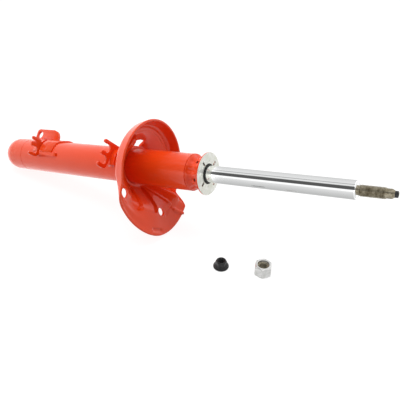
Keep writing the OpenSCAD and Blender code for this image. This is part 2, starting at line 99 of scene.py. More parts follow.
# ------------------------------------------------------------------ materials
class Nodes:
    """Short way to build a node material round one Principled shader."""

    def __init__(self, name):
        self.mat = bpy.data.materials.new(name)
        self.mat.use_nodes = True
        self.tree = self.mat.node_tree
        self.shader = self.tree.nodes["Principled BSDF"]
        self.coords = self.tree.nodes.new("ShaderNodeTexCoord").outputs["Object"]

    def link(self, a, b):
        self.tree.links.new(a, b)

    def mapped(self, scale, source=None, rotation=(0, 0, 0)):
        n = self.tree.nodes.new("ShaderNodeMapping")
        n.inputs["Scale"].default_value = scale
        n.inputs["Rotation"].default_value = rotation
        self.link(source or self.coords, n.inputs["Vector"])
        return n.outputs["Vector"]

    def noise(self, scale, detail=3.0, rough=0.55, source=None):
        n = self.tree.nodes.new("ShaderNodeTexNoise")
        n.inputs["Scale"].default_value = scale
        n.inputs["Detail"].default_value = detail
        n.inputs["Roughness"].default_value = rough
        n.inputs["Distortion"].default_value = 0.0
        self.link(source or self.coords, n.inputs["Vector"])
        return n.outputs["Fac"]

    def cells(self, scale):
        n = self.tree.nodes.new("ShaderNodeTexVoronoi")
        n.inputs["Scale"].default_value = scale
        self.link(self.coords, n.inputs["Vector"])
        return n.outputs["Distance"]

    def fit(self, value, a, b, c, d):
        """Maps a value from the range a to b onto the range c to d, and holds it there."""
        n = self.tree.nodes.new("ShaderNodeMapRange")
        n.inputs["From Min"].default_value = a
        n.inputs["From Max"].default_value = b
        n.inputs["To Min"].default_value = c
        n.inputs["To Max"].default_value = d
        self.link(value, n.inputs["Value"])
        return n.outputs["Result"]

    def math(self, kind, a, b):
        n = self.tree.nodes.new("ShaderNodeMath")
        n.operation = kind
        for i, v in enumerate((a, b)):
            if isinstance(v, (int, float)):
                n.inputs[i].default_value = v
            else:
                self.link(v, n.inputs[i])
        return n.outputs[0]

    def mix(self, factor, a, b):
        n = self.tree.nodes.new("ShaderNodeMix")
        n.data_type = "RGBA"
        if isinstance(factor, (int, float)):
            n.inputs[0].default_value = factor
        else:
            self.link(factor, n.inputs[0])
        for socket, v in ((n.inputs[6], a), (n.inputs[7], b)):
            if isinstance(v, tuple):
                socket.default_value = (*v, 1.0)
            else:
                self.link(v, socket)
        return n.outputs[2]

    def bump(self, height, strength, distance, normal=None):
        n = self.tree.nodes.new("ShaderNodeBump")
        n.inputs["Strength"].default_value = strength
        n.inputs["Distance"].default_value = distance
        self.link(height, n.inputs["Height"])
        if normal is not None:
            self.link(normal, n.inputs["Normal"])
        return n.outputs["Normal"]

    def pointy(self, low, high):
        """Rises from 0 to 1 on outer edges, which the materials lighten."""
        n = self.tree.nodes.new("ShaderNodeNewGeometry")
        return self.fit(n.outputs["Pointiness"], low, high, 0.0, 1.0)

    def set(self, **values):
        for key, v in values.items():
            socket = self.shader.inputs[key.replace("_", " ")]
            if isinstance(v, tuple):
                socket.default_value = (*v, 1.0)
            elif isinstance(v, (int, float)):
                socket.default_value = v
            else:
                self.link(v, socket)
        return self.mat


def red_paint():
    m = Nodes("red_paint")
    tone = m.noise(18, 4, 0.6)
    base = m.mix(m.fit(tone, 0.3, 0.7, 0.0, 1.0), (0.84, 0.056, 0.004), (0.89, 0.066, 0.007))
    specks = m.fit(m.cells(900), 0.02, 0.10, 1.0, 0.0)
    dust = m.math("MULTIPLY", specks, m.fit(m.noise(40, 3), 0.55, 0.75, 0.0, 0.35))
    color = m.mix(dust, base, (0.90, 0.24, 0.14))
    # paler, more orange outer edges: a painted highlight
    edge = m.math("MULTIPLY", m.pointy(0.52, 0.60), m.fit(m.noise(260, 4), 0.45, 0.65, 0.0, 0.5))
    color = m.mix(edge, color, (0.92, 0.16, 0.07))
    rough = m.fit(m.noise(55, 5), 0.3, 0.7, 0.30, 0.42)
    peel = m.bump(m.noise(420, 2, 0.4), 0.05, 0.0004)
    return m.set(Base_Color=color, Roughness=rough, Normal=m.bump(m.noise(2600, 2), 0.03, 0.0001, peel),
                 Coat_Weight=0.5, Coat_Roughness=0.10, Coat_IOR=1.5, Specular_IOR_Level=0.2)


def weld_paint():
    m = Nodes("red_paint_weld")
    tone = m.noise(300, 4, 0.6)
    color = m.mix(m.fit(tone, 0.35, 0.65, 0.0, 1.0), (0.62, 0.022, 0.006), (0.90, 0.085, 0.030))
    lumps = m.bump(m.noise(520, 4, 0.6), 0.7, 0.0009)
    return m.set(Base_Color=color, Roughness=m.fit(m.noise(400, 3), 0.3, 0.7, 0.22, 0.5), Normal=lumps,
                 Coat_Weight=0.7, Coat_Roughness=0.10)


def zinc_plate():
    m = Nodes("zinc_plate")
    cloud = m.noise(160, 5, 0.65)
    grain = m.noise(900, 4, 0.7)
    color = m.mix(m.fit(cloud, 0.35, 0.65, 0.0, 1.0), (0.70, 0.71, 0.62), (0.88, 0.88, 0.84))
    color = m.mix(m.fit(grain, 0.55, 0.72, 0.0, 0.35), color, (0.52, 0.53, 0.47))
    rough = m.fit(m.math("ADD", cloud, grain), 0.7, 1.3, 0.30, 0.52)
    return m.set(Base_Color=color, Metallic=0.85, Roughness=rough,
                 Normal=m.bump(grain, 0.12, 0.0002, m.bump(cloud, 0.05, 0.0006)))


def nut_zinc():
    m = Nodes("nut_zinc")
    cloud = m.noise(240, 4, 0.6)
    grain = m.noise(1200, 3, 0.6)
    color = m.mix(m.fit(cloud, 0.35, 0.65, 0.0, 1.0), (0.66, 0.66, 0.64), (0.80, 0.80, 0.79))
    rough = m.fit(grain, 0.3, 0.7, 0.28, 0.42)
    # near-white outer edges: a painted highlight
    lighter_edges = m.math("MULTIPLY", m.pointy(0.53, 0.60), 0.6)
    return m.set(Base_Color=m.mix(lighter_edges, color, (0.97, 0.97, 0.97)), Metallic=0.8, Roughness=rough,
                 Normal=m.bump(grain, 0.10, 0.0002))


def along_axis(m, across, along):
    """Object coordinates turned onto the strut's axis, stretched across and along it."""
    return m.mapped((along, across, across), m.mapped((1, 1, 1), rotation=(0, RISE, 0)))


def rod_chrome():
    m = Nodes("rod_chrome")
    hone = m.noise(1.0, 3, 0.6, along_axis(m, 30, 2600))
    haze = m.noise(26, 4, 0.6)
    color = m.mix(m.fit(haze, 0.35, 0.65, 0.0, 1.0), (0.90, 0.91, 0.91), (0.94, 0.95, 0.95))
    rough = m.fit(m.math("ADD", hone, haze), 0.6, 1.4, 0.03, 0.07)
    return m.set(Base_Color=color, Metallic=1.0, Roughness=rough, Normal=m.bump(hone, 0.03, 0.0001))


def stud_steel():
    m = Nodes("stud_steel")
    stain = m.noise(220, 5, 0.6)
    grain = m.noise(1500, 3, 0.6)
    color = m.mix(m.fit(stain, 0.35, 0.65, 0.0, 1.0), (0.20, 0.17, 0.11), (0.44, 0.40, 0.31))
    color = m.mix(m.fit(grain, 0.5, 0.7, 0.0, 0.4), color, (0.14, 0.11, 0.07))
    return m.set(Base_Color=color, Metallic=0.9, Roughness=m.fit(grain, 0.3, 0.7, 0.28, 0.48),
                 Normal=m.bump(grain, 0.15, 0.0002))


def black_oxide():
    m = Nodes("black_oxide")
    cloud = m.noise(350, 4, 0.6)
    color = m.mix(m.fit(cloud, 0.35, 0.65, 0.0, 1.0), (0.012, 0.012, 0.013), (0.032, 0.032, 0.032))
    # lighter on the outer edges
    lighter_edges = m.math("MULTIPLY", m.pointy(0.53, 0.60), m.fit(m.noise(700, 3), 0.4, 0.6, 0.0, 0.7))
    color = m.mix(lighter_edges, color, (0.11, 0.11, 0.11))
    return m.set(Base_Color=color, Metallic=0.4, Roughness=m.fit(cloud, 0.3, 0.7, 0.38, 0.55),
                 Normal=m.bump(m.noise(1500, 3), 0.12, 0.0002))


def plain_steel():
    m = Nodes("plain_steel")
    turned = m.noise(1.0, 3, 0.6, along_axis(m, 60, 1800))
    color = m.mix(m.fit(turned, 0.3, 0.7, 0.0, 1.0), (0.46, 0.47, 0.49), (0.62, 0.63, 0.65))
    return m.set(Base_Color=color, Metallic=1.0, Roughness=m.fit(turned, 0.3, 0.7, 0.26, 0.42),
                 Normal=m.bump(turned, 0.08, 0.0001))


def sintered_iron():
    m = Nodes("sintered_iron")
    pores = m.cells(2200)
    color = m.mix(m.fit(pores, 0.0, 0.4, 1.0, 0.0), (0.34, 0.35, 0.36), (0.14, 0.14, 0.14))
    return m.set(Base_Color=color, Metallic=0.9, Roughness=m.fit(m.noise(600, 4), 0.3, 0.7, 0.45, 0.65),
                 Normal=m.bump(pores, 0.25, 0.0002))


def bush_bronze():
    m = Nodes("bush_bronze")
    streak = m.noise(1.0, 3, 0.6, along_axis(m, 500, 60))
    color = m.mix(m.fit(streak, 0.3, 0.7, 0.0, 1.0), (0.32, 0.24, 0.16), (0.50, 0.36, 0.20))
    return m.set(Base_Color=color, Metallic=0.7, Roughness=m.fit(streak, 0.3, 0.7, 0.35, 0.55),
                 Normal=m.bump(streak, 0.1, 0.0002))


def band_plastic():
    m = Nodes("band_plastic")
    grain = m.noise(900, 4, 0.6)
    color = m.mix(m.fit(grain, 0.3, 0.7, 0.0, 1.0), (0.26, 0.18, 0.11), (0.36, 0.26, 0.17))
    return m.set(Base_Color=color, Roughness=m.fit(grain, 0.3, 0.7, 0.5, 0.7),
                 Normal=m.bump(grain, 0.15, 0.0002))


def black_rubber():
    m = Nodes("black_rubber")
    cloud = m.noise(500, 4, 0.6)
    bloom = m.noise(90, 4, 0.6)
    color = m.mix(m.fit(bloom, 0.4, 0.7, 0.0, 1.0), (0.010, 0.010, 0.009), (0.030, 0.030, 0.028))
    return m.set(Base_Color=color, Roughness=m.fit(cloud, 0.3, 0.7, 0.45, 0.65),
                 Normal=m.bump(cloud, 0.2, 0.0002), Specular_IOR_Level=0.35)


PAINT = red_paint()
WELD = weld_paint()
ZINC = zinc_plate()
NUT = nut_zinc()
CHROME = rod_chrome()
STUD = stud_steel()
OXIDE = black_oxide()
STEEL = plain_steel()
IRON = sintered_iron()
BRONZE = bush_bronze()
BAND = band_plastic()
RUBBER = black_rubber()


# ------------------------------------------------------------------ mesh tools
def grid(rows, around=True, loop=False):
    """A mesh from rows of points of equal length: around closes each row, loop joins last row to first."""
    bm = bmesh.new()
    made = [[bm.verts.new(p) for p in row] for row in rows]
    n = len(rows[0])
    last = len(rows) if loop else len(rows) - 1
    for i in range(last):
        a, b = made[i], made[(i + 1) % len(rows)]
        for j in range(n if around else n - 1):
            k = (j + 1) % n
            bm.faces.new((a[j], a[k], b[k], b[j]))
    bmesh.ops.remove_doubles(bm, verts=bm.verts, dist=1e-5)
    bmesh.ops.recalc_face_normals(bm, faces=bm.faces)
    return bm


def revolve(profile, segments=144, shape=None):
    """Turns a closed section of (r, z) round the axis. shape(r, a, z) may move a point."""
    rows = []
    for i in range(segments):
        a = 360.0 * i / segments
        rows.append([polar(*(shape(r, a, z) if shape else (r, a, z))) for r, z in profile])
    return grid(rows, around=True, loop=True)


def rounded(points, r, steps=3):
    """The closed outline with each corner rounded by r (one number, or one for each corner)."""
    out = []
    n = len(points)
    for i, p in enumerate(points):
        rad = r[i] if isinstance(r, (list, tuple)) else r
        p = Vector(p)
        before, after = Vector(points[i - 1]) - p, Vector(points[(i + 1) % n]) - p
        reach = min(rad, before.length * 0.49, after.length * 0.49)
        if reach < 1e-6:
            out.append(tuple(p))
            continue
        a, b = p + before.normalized() * reach, p + after.normalized() * reach
        for s in range(steps + 1):
            t = s / steps
            q = a * (1 - t) ** 2 + p * 2 * t * (1 - t) + b * t ** 2
            out.append(tuple(q))
    return out


def prism(outline, z_low, z_high):
    """An outline of (x, y) raised from z_low to z_high, with closed ends."""
    bm = bmesh.new()
    low = [bm.verts.new((x, y, z_low)) for x, y in outline]
    high = [bm.verts.new((x, y, z_high)) for x, y in outline]
    n = len(outline)
    bm.faces.new(list(reversed(low)))
    bm.faces.new(high)
    for i in range(n):
        k = (i + 1) % n
        bm.faces.new((low[i], low[k], high[k], high[i]))
    bmesh.ops.recalc_face_normals(bm, faces=bm.faces)
    return bm


def strap(r_in, r_out, z_low, z_high, start, end, steps=24, lump=0.0, seed=0.0):
    """Part of a ring as a closed solid; lump roughens its outer side like a weld bead."""
    rows = []
    across = 6
    for i in range(steps + 1):
        a = start + (end - start) * i / steps
        row = [polar(r_in, a, z_low), polar(r_in, a, z_high)]
        for k in range(across + 1):
            z = z_high + (z_low - z_high) * k / across
            r = r_out
            if lump:
                arch = 1 - abs(2 * k / across - 1) ** 2.5
                r = r_in + (r_out - r_in) * (0.25 + 0.75 * arch)
                r += lump * arch * wobble((a * 0.5, z, seed), 0.9, seed)
            row.append(polar(r, a, z))
        rows.append(row)
    bm = grid(rows, around=True, loop=False)
    edges = [e for e in bm.edges if e.is_boundary]
    bmesh.ops.holes_fill(bm, edges=edges, sides=0)
    bmesh.ops.recalc_face_normals(bm, faces=bm.faces)
    return bm


def to_object(name, bm, matrix=OWN):
    if matrix is not None:
        bmesh.ops.transform(bm, matrix=matrix, verts=bm.verts)
    mesh = bpy.data.meshes.new(name)
    bm.to_mesh(mesh)
    bm.free()
    obj = bpy.data.objects.new(name, mesh)
    bpy.context.scene.collection.objects.link(obj)
    return obj


def applied(obj):
    """Applies the object's modifiers to its mesh."""
    bpy.context.view_layer.update()
    graph = bpy.context.evaluated_depsgraph_get()
    mesh = bpy.data.meshes.new_from_object(obj.evaluated_get(graph))
    obj.modifiers.clear()
    obj.data = mesh
    return obj


def cut(obj, cutters):
    for c in cutters:
        mod = obj.modifiers.new("cut", "BOOLEAN")
        mod.operation = "DIFFERENCE"
        mod.solver = "MANIFOLD"
        mod.object = c
    applied(obj)
    for c in cutters:
        bpy.data.objects.remove(c)
    return obj


def bevelled(obj, width, angle=35, segments=3):
    mod = obj.modifiers.new("bevel", "BEVEL")
    mod.width = width * MM
    mod.segments = segments
    mod.limit_method = "ANGLE"
    mod.angle_limit = math.radians(angle)
    mod.use_clamp_overlap = True
    mod.miter_outer = "MITER_ARC"
    return applied(obj)


def shaded(obj, angle=38):
    obj.data.shade_smooth()
    obj.data.set_sharp_from_angle(angle=math.radians(angle))
    return obj


def block(half_l, half_w):
    """A rectangle's corners about the origin."""
    return [(-half_l, -half_w), (half_l, -half_w), (half_l, half_w), (-half_l, half_w)]


def prism_cutter(name, outline, z_low, z_high, angle, at):
    """A prism to cut with, moved out from the axis and then turned about it."""
    bm = prism(outline, z_low, z_high)
    turn = Matrix.Rotation(math.radians(angle), 4, "Z") @ Matrix.Translation(at)
    bmesh.ops.transform(bm, matrix=turn, verts=bm.verts)
    return to_object(name, bm)


def round_cutter(name, r, depth, centre, segments=96, matrix=OWN):
    """A cylinder along Z to cut with."""
    bm = bmesh.new()
    bmesh.ops.create_cone(bm, cap_ends=True, segments=segments, radius1=r, radius2=r, depth=depth)
    bmesh.ops.translate(bm, vec=centre, verts=bm.verts)
    return to_object(name, bm, matrix)


def piece(obj, body, nodes, slot, *materials):
    """Gives the object its materials and its body, and hides the CAD nodes it stands for. The slot is not
    used.
    """
    obj.data.materials.clear()
    for mat in materials:
        obj.data.materials.append(mat)
    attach(obj, body)
    if nodes:
        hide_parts(*nodes)
    return obj


# ------------------------------------------------------------------ tube, cap and collar
TUBE_R = 22.5
TUBE_BORE = 20.0
TUBE_WALL = 2.5
SEAM_Z = 343.0
GROOVE_Z = 57.5
GROOVE_W = 0.6
GROOVE_D = 0.3
DOME_Z = 14.5
DOME_FLAT_R = 3.0
TUBE_FROM_Z = 37.5
NECK_R = 18.4
SEAL_R = 16.0
DISC_Z = 363.4
DISC_T = 2.0
DISC_R = 25.5
SLOT_A = 20
SLOTS = 4


def dome(wide, high, start, end, steps):
    """Part of the dome's ellipse, as radius and height."""
    points = []
    for i in range(steps + 1):
        a = math.radians(start + (end - start) * i / steps)
        points.append((DOME_FLAT_R + wide * math.sin(a), TUBE_FROM_Z - high * math.cos(a)))
    return points


def tube_and_cap():
    low = TUBE_FROM_Z + 0.05
    groove_top = GROOVE_Z + GROOVE_W
    wall = [(TUBE_BORE, low), (TUBE_R, low), (TUBE_R, 50), (TUBE_R, GROOVE_Z - 0.1)]
    wall += [(TUBE_R - GROOVE_D, GROOVE_Z), (TUBE_R - GROOVE_D, groove_top), (TUBE_R, groove_top + 0.1)]
    wall += [(TUBE_R, z) for z in range(90, 331, 40)]
    wall += [(TUBE_R, SEAM_Z - 0.5), (TUBE_R - 0.25, SEAM_Z - 0.1)]
    wall += [(TUBE_R - 1.0, SEAM_Z), (TUBE_BORE, SEAM_Z)]
    tube = shaded(to_object("strut_tube", revolve(wall, 160)), 30)
    piece(tube, "housing", ["outer_tube"], "red_paint", PAINT)
    wide, high = TUBE_R - DOME_FLAT_R, TUBE_FROM_Z - DOME_Z
    outer = [(0.0, DOME_Z)] + dome(wide, high, 0, 90, 30)
    inner = dome(wide - TUBE_WALL, high - TUBE_WALL, 90, 0, 20) + [(0.0, DOME_Z + TUBE_WALL)]
    cap = shaded(to_object("end_cap", revolve(outer + inner, 160)), 40)
    piece(cap, "housing", ["base_cap"], "red_paint", PAINT)


def collar():
    """The collar over the seals: a rounded shoulder pressed in flutes, a neck with windows, then the disc."""
    top = DISC_Z - DISC_T
    lip = SEAM_Z + 1.0
    shoulder_h = 6.5
    steps = 14
    neck_from_z = 351.5
    windows, first_window, window_z = 5, 16.6, 354.2
    flutes, flute_from_z, flute_depth, swell_h = 10, 344.4, 1.2, 0.45
    outer = [(TUBE_R - 1.6, SEAM_Z), (TUBE_R - 1.6, SEAM_Z + 0.5), (TUBE_R - 0.6, SEAM_Z + 0.6),
             (TUBE_R - 0.1, SEAM_Z + 0.8), (TUBE_R, lip)]
    for i in range(1, steps + 1):
        t = i / steps
        outer.append((TUBE_R + (NECK_R - TUBE_R) * smooth(t), lip + shoulder_h * t))
    outer += [(NECK_R, neck_from_z + i) for i in range(10)] + [(NECK_R, top)]
    inner = [(SEAL_R, top), (SEAL_R, 348.6), (TUBE_BORE, 344.6), (TUBE_BORE, SEAM_Z)]

    def fluted(r, a, z):
        if r < SEAL_R + 0.5 or z < flute_from_z:
            return r, a, z
        wave = 0.5 + 0.5 * math.cos(math.radians(flutes * (a - first_window)))
        along = smooth((z - flute_from_z) / 3.0) * (1 - 0.8 * smooth((z - 351.0) / 4.0))
        swell = swell_h * smooth((z - 350.5) / 2.0) * (1 - smooth((z - 358.5) / 2.0))
        return r - along * flute_depth * wave ** 1.6 + swell * (1 - wave), a, z

    obj = to_object("top_collar_shell", revolve(outer + inner, 288, fluted))
    window, pit = rounded(block(6, 2.1), 0.5), rounded(block(2.2, 1.3), 0.6)
    window_at = (18.0, 0, window_z)
    cutters = [prism_cutter(f"cutter_{i}", window, -1.3, 1.3, first_window + 360 // windows * i, window_at)
               for i in range(windows)]
    # pits in the collar's end, under the disc's slots
    cutters += [prism_cutter(f"cutter_p{i}", pit, -6, 1, SLOT_A + 360 // SLOTS * i, (15.4, 0, top))
                for i in range(SLOTS)]
    shaded(cut(obj, cutters), 42)
    piece(obj, "housing", ["top_collar"], "red_paint", PAINT)


def disc():
    """The plated disc with slots and dimples; its edge and its lower face are painted with the tube."""
    low, high = DISC_Z - DISC_T, DISC_Z
    hole_r = 12.0
    slot_mid_r = 16.6
    dimple_r, dimple_mid_r, dimple_a = 1.5, 15, -25
    painted_from_r = 24.6
    corners = [(hole_r, low), (DISC_R, low), (DISC_R, high), (hole_r, high)]
    section = rounded(corners, [0.2, 0.7, 0.55, 0.5], 4)
    obj = to_object("bump_stop_disc", revolve(section, 192))
    slot = rounded(block(3.2, 1.4), 1.2, 4)
    cutters = []
    for i in range(SLOTS):
        turn = 360 // SLOTS * i
        cutters.append(prism_cutter(f"cutter_s{i}", slot, -1.5, 3.5, SLOT_A + turn, (slot_mid_r, 0, low)))
        bm = bmesh.new()
        bmesh.ops.create_uvsphere(bm, u_segments=24, v_segments=16, radius=dimple_r)
        spot = polar(dimple_mid_r, dimple_a + turn, high + dimple_r / 2)
        bmesh.ops.translate(bm, vec=spot, verts=bm.verts)
        cutters.append(to_object(f"cutter_d{i}", bm))
    cut(obj, cutters)
    shaded(bevelled(obj, 0.18, 50, 2), 40)
    piece(obj, "housing", ["stop_disc"], "zinc_plate", ZINC, PAINT)
    for f in obj.data.polygons:
        outward = f.center - OWN @ Vector((0, 0, DISC_Z))
        outward -= AXIS * outward.dot(AXIS)
        edge = outward.length > painted_from_r * MM or f.normal.dot(AXIS) < -0.5
        f.material_index = 1 if edge and f.normal.dot(AXIS) < 0.35 else 0


def wiper():
    section = rounded([(10.9, 358.0), (15.4, 358.0), (15.4, 359.4), (11.6, 359.8), (11.6, 364.6),
                       (10.3, 364.6), (10.03, 364.3), (10.03, 363.2), (10.9, 362.0)],
                      [0.1, 0.3, 0.3, 0.5, 0.5, 0.2, 0.1, 0.2, 0.3], 3)
    obj = shaded(to_object("dust_lip", revolve(section, 128)), 40)
    piece(obj, "housing", ["dust_wiper"], "black_rubber", RUBBER)


# ------------------------------------------------------------------ spring seat
# Angles are in degrees from the uppermost side towards the front, as in the CAD model.
FLOOR = 268.0
NECK_Z = 254.0
CUP_R = 58.2
CUP_RIM_Z = 282.5
LOBE_RIM_Z = 299.7
SEAT_HOLE_R = 22.9
FLANGE_FROM_R = 62
SHEET_T = 2.8
# the lobe opens in two steps, and closes at the stop for the spring's end
OPEN_FROM, OPEN_TO, OPEN_SHARE, LOBE_FULL = 74, 104, 0.82, 153
LOBE_END, LOBE_STEP = 198, 12
# the rim climbs later than the floor inside it, which climbs to a ledge
LIFT_FROM, LIFT_FULL = 104.5, 154.5
LEDGE_FROM, LEDGE_TO, LEDGE_SHARE = 70, 100, 0.45
LEDGE_WEIGHTS = (0, 0, 0.6, 1, 1, 1, 1, 1, 0.55, 0)
# the lobe's edge is a circle off the axis
LOBE_MID, LOBE_OFFSET, LOBE_CIRCLE_R = 150, 24.7, 58.4
# where the cup's side turns into the lobe, its lip swells outwards
SWELL, SWELL_AT, SWELL_HALF_A = 5.0, 92, 11
SWELL_WEIGHTS = (0, 0, 0, 0, 0, 0.2, 0.6, 0.9, 1, 1)
# each drain hole's angle, radius and own radius
DRAINS = ((95, 56.5, 5.8), (163.5, 57, 5.0))
WINDOW_FROM, WINDOW_TO, WINDOW_IN_R, WINDOW_OUT_R = -42, -4, 24.9, 34

CUP_SECTION = [
    (SEAT_HOLE_R, NECK_Z), (26.5, NECK_Z), (31, NECK_Z + 4), (38, FLOOR - 4), (44.5, FLOOR),
    (47.5, FLOOR + 0.2), (52, FLOOR + 1), (54.6, FLOOR + 3), (56.4, CUP_RIM_Z - 6), (CUP_R, CUP_RIM_Z)]

# the pressed pockets, from the tube outwards: (radius, angle, half width)
WIDE_POCKET = (
    (27, 134, 0), (32, 131, 3), (43, 123, 7), (51, 121, 9.5), (55, 121, 9), (58, 121, 4), (59, 121, 0))
NARROW_POCKET = ((27, 175, 0), (33, 169, 2.5), (42, 159, 4.2), (50, 155, 4.2), (55, 153.5, 2.6), (57, 153, 0))
POCKET_DEPTH = 4.2
POCKET_EDGE = 1.4


def closing(a):
    """Falls from 1 to 0 where the lobe ends."""
    return 1 - smooth((a - LOBE_END) / LOBE_STEP)


def lobe_share(a):
    """How far the section at an angle has turned from the cup's into the lobe's."""
    first = smooth((a - OPEN_FROM) / (OPEN_TO - OPEN_FROM))
    rest = smooth((a - OPEN_TO) / (LOBE_FULL - OPEN_TO))
    return (OPEN_SHARE * first + (1 - OPEN_SHARE) * rest) * closing(a)


def station_lift(a, j):
    """How far the section's point j has climbed at an angle."""
    ledge = LEDGE_SHARE * LEDGE_WEIGHTS[j] * smooth((a - LEDGE_FROM) / (LEDGE_TO - LEDGE_FROM))
    return (1 - (1 - ledge) * (1 - smooth((a - LIFT_FROM) / (LIFT_FULL - LIFT_FROM)))) * closing(a)


def lobe_r(a):
    t = math.radians(a - LOBE_MID)
    return LOBE_OFFSET * math.cos(t) + math.sqrt(LOBE_CIRCLE_R ** 2 - (LOBE_OFFSET * math.sin(t)) ** 2)


def lobe_section(a):
    start, top = FLANGE_FROM_R, LOBE_RIM_Z
    out = lobe_r(a) - start
    return [(SEAT_HOLE_R, NECK_Z), (26.5, NECK_Z + 0.5), (32, NECK_Z + 6), (42, FLOOR + 8), (51, top - 12.5),
            (57, top - 9), (start, top - 7), (start + out * 0.35, top - 5), (start + out * 0.72, top - 2.5),
            (start + out, top)]


def dent(a, r, at_a, at_r, half_a, half_r, height):
    """One soft bump or dent at an angle and radius."""
    return height * math.exp(-((a - at_a) / half_a) ** 2 - ((r - at_r) / half_r) ** 2)


def pocket(a, r, path):
    """A pressed pocket with clear edges."""
    if not path[0][0] < r < path[-1][0]:
        return 0.0
    for (r0, a0, w0), (r1, a1, w1) in zip(path, path[1:]):
        if r <= r1:
            t = (r - r0) / (r1 - r0)
            break
    middle = a0 + (a1 - a0) * t
    half = w0 + (w1 - w0) * t
    side = abs(r * math.radians(a - middle))
    return -POCKET_DEPTH * smooth((half - side) / POCKET_EDGE + 0.5)


def bar(a, r, from_a, from_r, to_a, to_r, half, height):
    """A short straight ridge or groove pressed between two points of the sheet."""
    p, q, x = polar(from_r, from_a, 0), polar(to_r, to_a, 0), polar(r, a, 0)
    t = min(1.0, max(0.0, (x - p).dot(q - p) / (q - p).length_squared))
    away = (x - p - (q - p) * t).length
    return height * smooth(1.5 - away / half) if away < 1.5 * half else 0.0


def relief(a, r):
    """How far the sheet is pressed up or down at an angle and radius."""
    h = pocket(a, r, WIDE_POCKET)
    h += pocket(a, r, NARROW_POCKET)
    # ridge beside the narrow pocket
    h += bar(a, r, 180, 31, 184, 55, 1.3, 1.6)
    # stop that the spring's end meets, the bar beyond it and the groove before it
    h += dent(a, r, 199, 50, 11, 11, 8)
    h += bar(a, r, 185, 64, 190, 74, 2.2, 2.8) + bar(a, r, 183, 59, 169, 63, 1.0, -1.5)
    # drain dimple at the lobe's edge
    h += bar(a, r, 146, 77, 155, 78.5, 2.2, -1.8)
    # bead round the cup's floor
    h += (1 - lobe_share(a)) * (dent(0, r, 0, 49.0, 1, 1.5, 0.9) - dent(0, r, 0, 52.0, 1, 1.0, 0.5))
    # rough tab beside the window
    tab = 5.0 * smooth((9.0 - abs(r - 38.5)) / 3.0) * smooth((16.0 - abs(a - 16)) / 6.0)
    h += tab * (1 + 0.35 * wobble(polar(r, a, 0), 0.45, 4))
    return h


def seat_section(a):
    """The sheet's upper side at an angle, as radius and height, from the tube outwards."""
    share = lobe_share(a)
    swell = SWELL * math.exp(-((a - SWELL_AT) / SWELL_HALF_A) ** 2)
    section = []
    for j, (c, l) in enumerate(zip(CUP_SECTION, lobe_section(a))):
        r = c[0] + (l[0] - c[0]) * share + swell * SWELL_WEIGHTS[j]
        section.append((r, c[1] + (l[1] - c[1]) * station_lift(a, j)))
    return section


def spline(points, per):
    """A smooth curve through the points, with a set number of steps on each span."""
    out = []
    n = len(points)
    for i in range(n - 1):
        p = [Vector(points[max(0, min(n - 1, i + k))]) for k in (-1, 0, 1, 2)]
        for s in range(per):
            t = s / per
            q = 0.5 * (2 * p[1] + (p[2] - p[0]) * t + (2 * p[0] - 5 * p[1] + 4 * p[2] - p[3]) * t * t
                       + (3 * p[1] - p[0] - 3 * p[2] + p[3]) * t ** 3)
            out.append(q)
    out.append(Vector(points[-1]))
    return out


def seat_rows(steps=288):
    """The sheet's closed section at each angle: upper side, rounded rim, underside."""
    rim_steps = 6
    rows = []
    for i in range(steps):
        a = 360.0 * i / steps
        line = spline(seat_section(a), 6)
        line = [Vector((p.x, p.y + relief(a, p.x) * smooth((p.x - 26.5) / 4))) for p in line]
        sides = []
        for j in range(len(line)):
            d = (line[min(j + 1, len(line) - 1)] - line[max(j - 1, 0)]).normalized()
            sides.append(d if j else Vector((1, 0)))
        under = [p + SHEET_T * Vector((d.y, -d.x)) for p, d in zip(line, sides)]
        tip, d = line[-1], sides[-1]
        down = Vector((d.y, -d.x))
        rim = []
        for k in range(1, rim_steps):
            t = math.pi * k / rim_steps
            rim.append(tip + down * SHEET_T / 2 * (1 - math.cos(t)) + d * SHEET_T * 0.32 * math.sin(t))
        section = line + rim + list(reversed(under))
        rows.append([polar(p.x, a, p.y) for p in section])
    return rows


def spring_seat():
    obj = to_object("pressed_seat", grid(seat_rows(), around=True, loop=True))
    cutters = [round_cutter("cutter_hole", hole_r, 50, polar(r, a, 280), 48) for a, r, hole_r in DRAINS]
    outline = arc(0, 0, WINDOW_IN_R, WINDOW_FROM, WINDOW_TO, 14)
    outline += arc(0, 0, WINDOW_OUT_R, WINDOW_TO, WINDOW_FROM, 14)
    cutters.append(to_object("cutter_window", prism(rounded(outline, 0.8, 2), NECK_Z - 6, FLOOR + 4)))
    cut(obj, cutters)
    shaded(obj, 44)
    piece(obj, "housing", ["spring_seat"], "red_paint", PAINT)


def seat_weld():
    steps = 180
    rows = []
    top = NECK_Z - SHEET_T
    for i in range(steps):
        a = 360 / steps * i
        swell = 1 + 0.16 * wobble((math.cos(math.radians(a)) * 9, math.sin(math.radians(a)) * 9, 0), 1.0, 3)
        leg = 3.3 * swell
        rows.append([polar(r, a, z) for r, z in (
            (TUBE_R, top), (TUBE_R + leg, top), (TUBE_R + leg * 0.86, top - leg * 0.42),
            (TUBE_R + leg * 0.45, top - leg * 0.85), (TUBE_R, top - leg))])
    obj = shaded(to_object("seat_weld_bead", grid(rows, around=True, loop=True)), 60)
    piece(obj, "housing", ["seat_weld"], "red_paint", WELD)


# ------------------------------------------------------------------ brackets
UPPER_A = 39.6
UPPER_Z = 227.5
LOWER_A = 45.0
LOWER_Z = 93.0
HOOK_T = 3.0
FOOT_T = 2.2
SADDLE_T = 2.0
TAIL_Z = 131
# pieces on the tube reach this far into it, so that no gap shows
SINK = 0.05


def notch(p, q, r, tip_low, tip_high):
    """The inside of one notch, from its upper lip round to its lower lip."""
    mouth = r * 0.9
    lip = math.degrees(math.asin(0.9))
    return [(tip_low, q - mouth)] + arc(p, q, r, -lip, -360 + lip, 22) + [(tip_high, q + mouth)]


